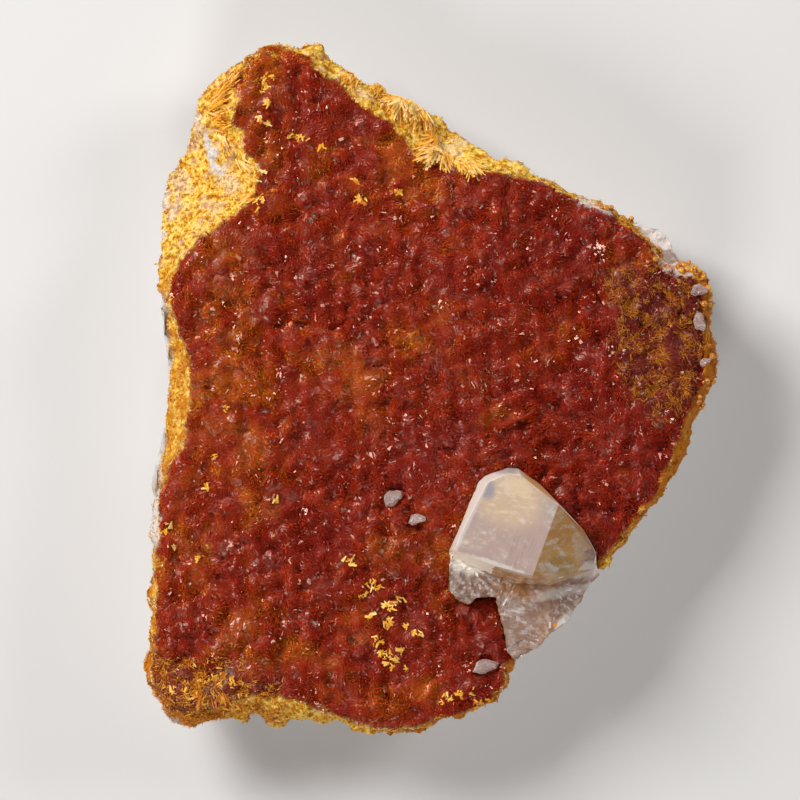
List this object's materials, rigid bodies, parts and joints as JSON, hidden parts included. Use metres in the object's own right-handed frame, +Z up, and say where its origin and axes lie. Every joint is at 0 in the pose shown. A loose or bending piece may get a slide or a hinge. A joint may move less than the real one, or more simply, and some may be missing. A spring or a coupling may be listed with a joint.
{
  "type": "barite on orpiment",
  "caption": "Hand-sized plate of red-orange orpiment druse with broken yellow rims on pale host rock, carrying a clear bevelled barite crystal. Lies on its flat broken back.",
  "frame": {"origin": "middle of the plate's outline, on the surface that it lies on", "axes": "+Z up and out of the druse, +Y towards the specimen's pointed top, +X to the right as the druse is looked at"},
  "size_m": [0.0632, 0.0768, 0.0223],
  "materials": {
    "host_rock": "rough broken rock",
    "orpiment": "glittering druse, resinous",
    "barite": "clear crystal with veils"
  },
  "bodies": {
    "root": {"host_rock": "host_rock", "orpiment_crust": "orpiment", "barite_crystal": "barite", "barite_flake_middle": "barite", "barite_flake_inner": "barite", "barite_flake_lower": "barite", "barite_grain_upper": "barite", "barite_grain_middle": "barite", "barite_grain_lower": "barite"}
  },
  "joints": []
}
